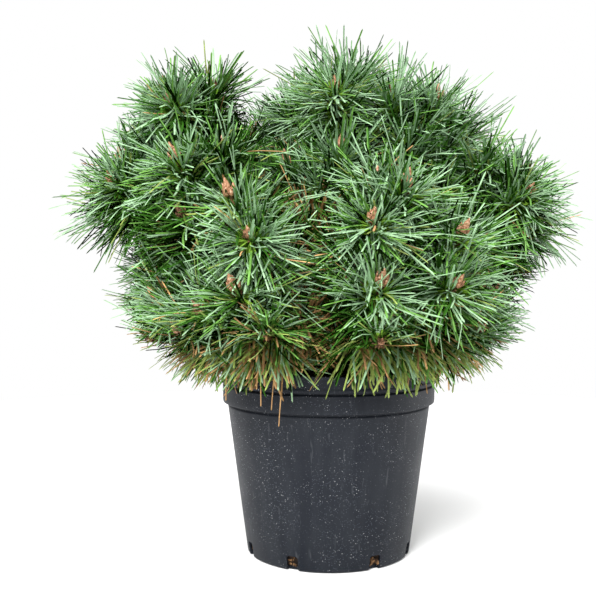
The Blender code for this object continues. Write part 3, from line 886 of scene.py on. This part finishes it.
def build_limbs(boughs):
    trunk = trunk_limb(stem_foot(TOP).z, FINE_TRUNK_RINGS, FINE_TRUNK_CROWDING)
    parts = [tube(trunk.points, trunk.radii, FINE_TRUNK_SIDES, bark_relief)]
    parts += [tube(limb.points, limb.radii, FINE_BOUGH_SIDES, bark_relief) for limb in boughs]
    made = joined("trunk_and_boughs", parts, bark_material())
    rides(made, "bark", "trunk", *[limb.name for limb in boughs])


def profile_mesh(profile, sides):
    """A surface of revolution as a bmesh, from a profile that starts and ends on the axis."""
    mesh = bmesh.new()
    rings = []
    for radius, height in profile:
        turns = [2 * math.pi * k / sides for k in range(sides if radius else 1)]
        rings.append([mesh.verts.new((radius * math.sin(t), -radius * math.cos(t), height)) for t in turns])
    for low, high in zip(rings, rings[1:]):
        for k in range(sides):
            corners = [ring[i % len(ring)] for ring, i in ((low, k), (low, k + 1), (high, k + 1), (high, k))]
            mesh.faces.new(list(dict.fromkeys(corners)))
    bmesh.ops.recalc_face_normals(mesh, faces=mesh.faces)
    return mesh


def rounded(corner, before, after, radius):
    """Points round a corner of a profile, on the curve that leaves its two sides at this distance from it."""
    corner, before, after = Vector(corner), Vector(before), Vector(after)
    start = corner + (before - corner).normalized() * radius
    end = corner + (after - corner).normalized() * radius
    shares = [i / CORNER_STEPS for i in range(CORNER_STEPS + 1)]
    return [tuple(start * (1 - t) ** 2 + corner * 2 * t * (1 - t) + end * t**2) for t in shares]


def pot_profile():
    """The container's outline, from the underside's centre to the inner floor's: each corner's radius and
    height, and how much it is rounded."""
    foot, shoulder, band, rim = FOOT_RADIUS, SHOULDER_RADIUS, BAND_RADIUS, RIM_RADIUS
    ledge, step, top = SHOULDER_HEIGHT, RIM_STEP_HEIGHT, POT_HEIGHT
    wall = 2 * POT_WALL
    sharp = [
        ((0, 0), 0),
        ((foot, 0), 0.003),
        ((shoulder, ledge - 0.004), 0.001),
        ((shoulder - 0.0016, ledge - 0.002), 0.0006),
        ((shoulder - 0.0016, ledge + 0.001), 0.0004),
        ((band - 0.0004, ledge + SHOULDER_RISE - 0.0016), 0.001),
        ((band, ledge + SHOULDER_RISE + 0.003), 0.0012),
        ((band, step - 0.0034), 0.0008),
        ((band - 0.003, step - 0.002), 0.0005),
        ((band - 0.003, step - 0.0002), 0.0004),
        ((rim + 0.0005, step + 0.0006), 0.0006),
        ((rim + 0.0005, step + 0.0036), 0.0009),
        ((rim - 0.0003, step + 0.005), 0.0009),
        ((rim - 0.0003, top), 0.0011),
        ((rim - 0.0028, top), 0.0009),
        ((band - wall, top - 0.004), 0.001),
        ((band - wall, ledge + SHOULDER_RISE + 0.004), 0.0008),
        ((shoulder - wall, ledge - 0.002), 0.0008),
        ((foot - POT_WALL, POT_FLOOR), 0.001),
        ((0, POT_FLOOR), 0),
    ]
    points = [sharp[0][0]]
    for (before, _), (corner, radius), (after, _) in zip(sharp, sharp[1:], sharp[2:]):
        points += rounded(corner, before, after, radius)
    return [*points, sharp[-1][0]]


def slot_outline():
    """A drain slot seen from outside: open below, with its two upper corners rounded."""
    half, corner = SLOT_WIDTH / 2, SLOT_CORNER
    turns = [math.pi / 2 * k / CORNER_STEPS for k in range(CORNER_STEPS + 1)]
    wide, high = half - corner, SLOT_HEIGHT - corner
    arc = [(wide + corner * math.cos(t), high + corner * math.sin(t)) for t in turns]
    return [(-half, -SLOT_OVERRUN), (half, -SLOT_OVERRUN), *arc, *[(-x, z) for x, z in reversed(arc)]]


def slot_block(angle):
    """Vertices and faces of a block that cuts a drain slot through the wall."""
    outward = polar(angle, 1.0, 0.0)
    sideways = UP.cross(outward)
    outline = slot_outline()
    vertices = []
    for radius in (FOOT_RADIUS - SLOT_DEPTH, SHOULDER_RADIUS):
        vertices += [outward * radius + sideways * x + UP * z for x, z in outline]
    return vertices, tube_faces(2, len(outline))


def build_pot():
    material = plastic_material()
    pot = object_from("nursery_pot", profile_mesh(pot_profile(), POT_SIDES), material)
    cutter = joined("slots", [slot_block(angle) for angle in SLOT_ANGLES], material)
    modifier = pot.modifiers.new("slots", "BOOLEAN")
    modifier.operation = "DIFFERENCE"
    modifier.solver = "EXACT"
    modifier.object = cutter
    bpy.context.view_layer.update()
    pot.data = bpy.data.meshes.new_from_object(pot.evaluated_get(bpy.context.evaluated_depsgraph_get()))
    pot.modifiers.clear()
    bpy.data.objects.remove(cutter)
    pot.data.shade_smooth()
    pot.data.set_sharp_from_angle(angle=SHARP_ANGLE)
    rides(pot, "pot", "pot")


def build_filling():
    """The compost: a filling with a lumpy top."""
    profile = [
        (0, POT_FLOOR + CLEARANCE),
        (FOOT_RADIUS - POT_WALL - 0.0016, POT_FLOOR + CLEARANCE),
        (SHOULDER_RADIUS - MIX_WALL, SHOULDER_HEIGHT),
        (MIX_RADIUS, SHOULDER_HEIGHT + 0.008),
        (MIX_RADIUS, MIX_TOP - 0.002),
    ]
    profile += [(MIX_RADIUS * (1 - i / MIX_RINGS), MIX_TOP - 0.001) for i in range(1, MIX_RINGS)]
    profile.append((0, MIX_TOP - 0.001))
    mesh = profile_mesh(profile, ROUND_SIDES)
    for vertex in mesh.verts:
        if vertex.co.z > MIX_TOP - 0.003:
            vertex.co.z += sum(height * noise.noise(vertex.co * fineness) for height, fineness in MIX_LUMPS)
    filling = object_from("compost", mesh, mix_material())
    filling.data.shade_smooth()
    rides(filling, "potting_mix", "potting_mix")


def chip(chance, centre, size):
    """One flake of bark: a squashed block with uneven corners."""
    breadth = size * chance.uniform(0.5, 0.9)
    length = size * chance.uniform(0.8, 1.5)
    thickness = size * 0.22
    turn = chance.uniform(0, 2 * math.pi)
    tilt = Vector((chance.uniform(-0.5, 0.5), chance.uniform(-0.5, 0.5), 1)).normalized()
    ahead = Vector((math.cos(turn), math.sin(turn), 0))
    ahead = (ahead - tilt * ahead.dot(tilt)).normalized()
    aside = tilt.cross(ahead)
    vertices = []
    for z in (-1, 1):
        for x, y in ((-1, -1), (1, -1), (1, 1), (-1, 1)):
            level = (ahead * x * length + aside * y * breadth) * chance.uniform(0.65, 1.0) / 2
            vertices.append(centre + level + tilt * z * thickness / 2)
    faces = [(3, 2, 1, 0), (4, 5, 6, 7), (0, 1, 5, 4), (1, 2, 6, 5), (2, 3, 7, 6), (3, 0, 4, 7)]
    return vertices, faces


def build_flakes():
    """Flakes of bark on the compost's top, clear of the trunk, and behind the drain slots."""
    chance = random.Random(SEED + 1)
    flakes = []
    for _ in range(FLAKES_ON_TOP):
        radius = (MIX_RADIUS - FLAKE_EDGE_GAP) * math.sqrt(chance.uniform(0, 1))
        turn = chance.uniform(0, 2 * math.pi)
        if radius > TRUNK_RADIUS * FLAKE_TRUNK_ROOM:
            height = MIX_TOP + chance.uniform(*FLAKE_HEIGHTS)
            centre = Vector((radius * math.cos(turn), radius * math.sin(turn), height))
            flakes.append(chip(chance, centre, chance.uniform(*FLAKE_SIZES)))
    for angle in SLOT_ANGLES:
        facing = UP.rotation_difference(polar(angle, 1.0, 0.0))
        for _ in range(FLAKES_IN_SLOT):
            height = chance.uniform(POT_FLOOR + SLOT_FLAKE_RISE, SLOT_HEIGHT)
            azimuth = angle + chance.uniform(-SLOT_FLAKE_TURN, SLOT_FLAKE_TURN)
            centre = polar(azimuth, chance.uniform(*SLOT_FLAKE_REACH), height)
            vertices, faces = chip(chance, Vector(), chance.uniform(*SLOT_FLAKE_SIZES))
            flakes.append(([centre + facing @ vertex for vertex in vertices], faces))
    flaked = joined("bark_flakes", flakes, flake_material())
    flaked.data.shade_flat()
    rides(flaked, "potting_mix")


def build_twigs(shoots):
    stations = [i / TWIG_GAPS * TWIG_END for i in range(TWIG_GAPS + 1)]
    parts = []
    for shoot in shoots:
        points = [shoot_point(shoot.points, share)[0] for share in stations]
        start, end = TWIG_RADII.get(shoot.kind, HIDDEN_TWIG_RADII)
        radii = [start + (end - start) * share for share in stations]
        parts.append(tube(points, radii, TWIG_SIDES, plain_relief(*TWIG_RELIEF)))
    rides(joined("twigs", parts, twig_material()), "bark")


def bud_part(axis, foot, length, width):
    """One bud: a tube with a full foot and a blunt tip."""
    shares = [i / (BUD_RINGS - 1) for i in range(BUD_RINGS)]
    radii = [width * math.sin(math.pi * s**0.72) ** 0.75 * (1.12 - 0.4 * s) for s in shares]
    radii = [max(radius, BUD_LEAST_RADIUS) for radius in radii]
    points = [foot + axis * length * s for s in shares]
    return tube(points, radii, BUD_SIDES, plain_relief(*BUD_RELIEF))


def bud_cluster(chance, tip, along, scale):
    """One stout bud on the tip, crowded by smaller ones round its foot."""
    parts = [bud_part(along, tip - along * BUD_SINKING, BUD_LENGTH * scale, BUD_WIDTH * scale)]
    count = chance.choice(SMALL_BUDS)
    first = chance.uniform(0, 2 * math.pi)
    for number in range(1, count + 1):
        out = around(along, first + 2 * math.pi * number / count)
        axis = (along + out * chance.uniform(*SMALL_BUD_LEANS)).normalized()
        length = chance.uniform(*SMALL_BUD_LENGTHS) * scale
        foot = tip - along * chance.uniform(*SMALL_BUD_SINKING) + out * SMALL_BUD_REACH * scale
        parts.append(bud_part(axis, foot, length, SMALL_BUD_WIDTH + length * SMALL_BUD_STOUTNESS))
    return parts


def build_buds(shoots):
    chance = random.Random(SEED + 2)
    parts = []
    for shoot in shoots:
        tip, along = shoot_point(shoot.points, BUD_PLACE)
        parts += bud_cluster(chance, tip, along, chance.uniform(*BUD_SCALES[shoot.kind]))
    rides(joined("buds", parts, bud_material()), "bark")


def blade_triangles(blade):
    return 4 * (len(blade) - 1) + 2


def needle_arrays(table, blade):
    """Points and triangles of many needles, each a blade with a keel and a blunt point."""
    roots, directions, bends = table[:, 0:3], table[:, 3:6], table[:, 6:9]
    lengths, widths = table[:, 9], table[:, 10]
    count, rings = len(table), len(blade)
    directions = directions / np.linalg.norm(directions, axis=1)[:, None]
    helper = np.where(np.abs(directions[:, 2:3]) < NEARLY_UPRIGHT, [[0.0, 0.0, 1.0]], [[1.0, 0.0, 0.0]])
    side = np.cross(directions, helper)
    side /= np.linalg.norm(side, axis=1)[:, None]
    other = np.cross(side, directions)
    vertices = np.zeros((count, rings * 3 + 1, 3))
    for ring, (share, full) in enumerate(blade):
        centre = roots + directions * (lengths * share)[:, None] + bends * (lengths * share**2)[:, None]
        half = (widths * full)[:, None]
        vertices[:, ring * 3] = centre - side * half
        vertices[:, ring * 3 + 1] = centre + other * half * NEEDLE_KEEL
        vertices[:, ring * 3 + 2] = centre + side * half
    vertices[:, -1] = roots + directions * lengths[:, None] + bends * lengths[:, None]
    faces = []
    last = (rings - 1) * 3
    for low in range(0, last, 3):
        for k in range(2):
            faces += [(low + k, low + k + 1, low + k + 4), (low + k, low + k + 4, low + k + 3)]
    faces += [(last, last + 1, last + 3), (last + 1, last + 2, last + 3)]
    faces = np.array(faces)
    triangles = (faces[None] + (np.arange(count) * (rings * 3 + 1))[:, None, None]).reshape(-1, 3)
    return vertices.reshape(-1, 3).tolist(), triangles.tolist()


def tint_of(spray, depth, chance):
    """A needle's tint, by its place on the shoot and by how dry, how yellow and how bright its shoot is; the
    dark end of the brightness is painted shade.
    """
    if chance.random() < spray.dryness * (FOOT_DRYNESS - DRYNESS_FALL * depth):
        return "dead" if chance.random() < spray.dead_share else "straw"
    if chance.random() < spray.yellowing:
        return "yellowing"
    # Brightness falls toward the shoot's foot, partly painted shade deep in the crown and partly the fresher
    # needles near the bud.
    brightness = BUD_BRIGHTNESS * depth + spray.tone + chance.gauss(0, NEEDLE_CHANCE)
    # Below every step the needle gets the near-black tint of painted shade.
    return next((tint for step, tint in TINT_STEPS if brightness > step), "deep")


def touches_pot(root, direction, bend, reach):
    for share in (0.5, 0.75, 1.0):
        point = root + direction * (reach * share) + bend * (reach * share**2)
        if point.z < POT_HEIGHT + POT_MARGIN and math.hypot(point.x, point.y) < RIM_RADIUS + POT_MARGIN:
            return True
    return False


def misplaced(tip, hanging, box, chance):
    """Whether a needle's tip is out of the box or hangs too low, by a height drawn for tips in the box."""
    low, high = box
    if any(tip[k] < low[k] or tip[k] > high[k] for k in range(3)):
        return True
    beyond = max(math.hypot(tip.x, tip.y) - RIM_REACH, 0.0)
    lowest, slope = (LOWEST_HANGING_TIP, HANGING_SLOPE) if hanging else (LOWEST_TIP, UNDERSIDE_SLOPE)
    return tip.z < lowest + slope * beyond + chance.uniform(0, RAGGEDNESS)


def chance_bend(chance, spread):
    return Vector([clamped(chance.gauss(0, spread), -MOST_BEND, MOST_BEND) for _ in range(3)])


def spray_of(shoot, chance):
    """What the needles of one shoot share; chance draws the spray's tone, and painted shade darkens it on some
    whorls and on inner and under shoots.
    """
    habit = HABITS[shoot.kind]
    height = shoot.points[-1].z
    lit = height >= DRY_HEIGHT
    lowness = clamped((LOW_HEIGHT - height) / LOW_FADE, 0.0, 1.0)
    hanging = "fringe" in shoot.kind
    vigour = VIGOUR.get(shoot.whorl, 1.0)
    # Painted shade: inner and under shoots get a darker tone for the shade inside and below the crown.
    tone = chance.gauss(TONE, TONE_CHANCE) - PAINTED_SHADE_BY_KIND.get(shoot.kind, 0.0)
    # Painted shade: some whorls get a darker tone for how light falls on their side of the crown.
    tone -= PAINTED_SHADE_BY_WHORL.get(shoot.whorl, 0.0)
    return Spray(
        points=shoot.points,
        habit=habit,
        hanging=hanging,
        reach=NEEDLE_LENGTH * vigour * habit.length,
        stoutness=FRINGE_STOUTNESS if hanging else 1 / vigour,
        droop=habit.droop + LOW_DROOP * lowness,
        dryness=habit.dryness * DRYNESS[lit] + LOW_DRYNESS * lowness,
        dead_share=DEAD_SHARE[lit],
        yellowing=habit.yellowing + LOW_YELLOWING * lowness,
        tone=tone,
    )


def needle_pair(spray, turn, box, chance):
    """The tint and row of each needle of a pair, but for one out of place or touching the container."""
    habit = spray.habit
    depth = chance.random() ** NEEDLE_CROWDING
    centre, along = shoot_point(spray.points, habit.first + (habit.last - habit.first) * depth)
    out = around(along, turn)
    root = centre + out * NEEDLE_ROOT
    lean = habit.foot_lean + (habit.bud_lean - habit.foot_lean) * depth + chance.gauss(0, LEAN_CHANCE)
    lean = math.radians(max(lean, LEAST_LEAN))
    reach = spray.reach * clamped(chance.gauss(1, LENGTH_CHANCE), *LENGTH_LIMITS)
    pair_bend = chance_bend(chance, PAIR_BEND_CHANCE) + along * BEND_ALONG_SHOOT - UP * spray.droop
    pair = []
    for twin_turn in (-TWIN_SPREAD, TWIN_SPREAD):
        direction = around(along, twin_turn, out) * math.sin(lean) + along * math.cos(lean)
        bend = pair_bend + chance_bend(chance, NEEDLE_BEND_CHANCE)
        left_out = misplaced(root + (direction + bend) * reach, spray.hanging, box, chance)
        tint = tint_of(spray, depth, chance)
        width = NEEDLE_HALF_WIDTH * spray.stoutness * chance.uniform(*WIDTH_SHARES)
        if not left_out and not touches_pot(root, direction, bend, reach):
            pair.append((tint, (*root, *direction, *bend, reach, width)))
    return pair


def needle_rows(shoots, box):
    """Every needle's root, direction, bend, length and half width, by tint and blade."""
    chance = random.Random(SEED + 3)
    rows = {(tint, blade): [] for tint in TINTS for blade in (BENT_BLADE, STRAIGHT_BLADE)}
    for shoot in shoots:
        spray = spray_of(shoot, chance)
        blade = STRAIGHT_BLADE if shoot.kind in HIDDEN_KINDS else BENT_BLADE
        steps = zip(shoot.points, shoot.points[1:])
        length = sum((b - a).length for a, b in steps) * (spray.habit.last - spray.habit.first)
        turn = chance.uniform(0, 2 * math.pi)
        for _ in range(round(PAIRS_PER_METRE * spray.habit.density * length)):
            turn += GOLDEN_ANGLE
            for tint, row in needle_pair(spray, turn, box, chance):
                rows[tint, blade].append(row)
    for root, tip in HANGING:
        root, tip = polar(*root), polar(*tip)
        reach = (tip - root).length
        row = (*root, *((tip - root) / reach), HANGING_BEND, 0.0, 0.0, reach, NEEDLE_HALF_WIDTH)
        rows["straw", BENT_BLADE].append(row)
    return rows


def build_needles(shoots, box):
    """Pieces of needles by tint and blade; the bent ones of the bright tints have a yellower foot."""
    foot = new_material("needle_foot", *NEEDLE_FOOT)
    material = {tint: needle_material(tint) for tint in TINTS}
    for (tint, blade), rows in needle_rows(shoots, box).items():
        table = np.array(rows)
        layer = "outer" if blade == BENT_BLADE else "inner"
        in_needle = blade_triangles(blade)
        step = TRIANGLES_IN_PIECE // in_needle
        for number, start in enumerate(range(0, len(table), step), start=1):
            vertices, triangles = needle_arrays(table[start : start + step], blade)
            piece = new_object(f"{layer}_{tint}_needles_{number}", vertices, triangles, material[tint])
            if tint in PALE_FOOTED and blade == BENT_BLADE:
                piece.data.materials.append(foot)
                in_foot = np.arange(len(triangles)) % in_needle < FOOT_TRIANGLES
                piece.data.polygons.foreach_set("material_index", in_foot.astype(np.int32))
            rides(piece, "needles")
    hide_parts(*["needles_" + whorl.name for whorl in WHORLS])


def build_sheaths(shoots):
    """Old brown sheaths under each bud, where the needles leave the shoot bare."""
    chance = random.Random(SEED + 5)
    rows = []
    for shoot in shoots:
        for _ in range(SHEATHS_ON_NECK):
            centre, along = shoot_point(shoot.points, chance.uniform(*NECK))
            out = around(along, chance.uniform(0, 2 * math.pi))
            root = centre + out * SHEATH_ROOT
            direction = out * 0.75 + along * chance.uniform(0.5, 1.0)
            bend = along * 0.2
            rows.append((*root, *direction, *bend, chance.uniform(*SHEATH_LENGTHS), SHEATH_HALF_WIDTH))
    vertices, triangles = needle_arrays(np.array(rows), STRAIGHT_BLADE)
    rides(new_object("bud_sheaths", vertices, triangles, twig_material()), "bark")


def build_stage():
    reach, low = PAPER_RADIUS, PAPER_UNDERSIDE
    sheet = profile_mesh([(0, PAPER_TOP), (reach, PAPER_TOP), (reach, low), (0, low)], ROUND_SIDES)
    made = object_from("floor", sheet, paper_material())


def build_light():
    world = bpy.data.worlds.new("studio")
    bpy.context.scene.world = world
    world.use_nodes = True
    room = world.node_tree.nodes["Background"]
    room.inputs["Color"].default_value = (1.0, 1.0, 1.0, 1.0)
    room.inputs["Strength"].default_value = ROOM_BRIGHTNESS
    for name, place, target, size, power in LAMPS:
        data = bpy.data.lights.new(name, "AREA")
        data.shape = "RECTANGLE"
        data.size, data.size_y = size
        data.energy = power
        made = linked(name, data)
        made.location = place
        made.rotation_euler = (Vector(target) - Vector(place)).to_track_quat("-Z", "Y").to_euler()
    bpy.context.scene.view_settings.view_transform = "Standard"


def build_camera():
    data = bpy.data.cameras.new("camera")
    data.lens = FOCAL_PIXELS / max(PHOTO_WIDTH, PHOTO_HEIGHT) * data.sensor_width
    made = linked("camera", data)
    made.location = CAMERA_PLACE
    made.rotation_euler = (math.pi / 2 - CAMERA_TILT, 0, CAMERA_PAN)
    bpy.context.scene.camera = made


def main():
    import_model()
    model_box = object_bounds()
    build_camera()
    build_light()
    build_stage()
    build_pot()
    build_filling()
    build_flakes()
    boughs = bough_limbs(FINE_BOUGH_RINGS)
    build_limbs(boughs)
    leads, sides = shoots_of_crown([frame_trunk(), *bough_limbs(BOUGH_RINGS)])
    hidden = inner_shoots(boughs) + dry_shoots() + fringe_shoots(boughs)
    build_twigs(leads + sides + hidden)
    build_buds(leads + sides)
    build_sheaths(leads + sides)
    low, high = model_box
    grown = [[value - GROWTH_MARGIN for value in low], [value + GROWTH_MARGIN for value in high]]
    build_needles(leads + sides + hidden, grown)


main()
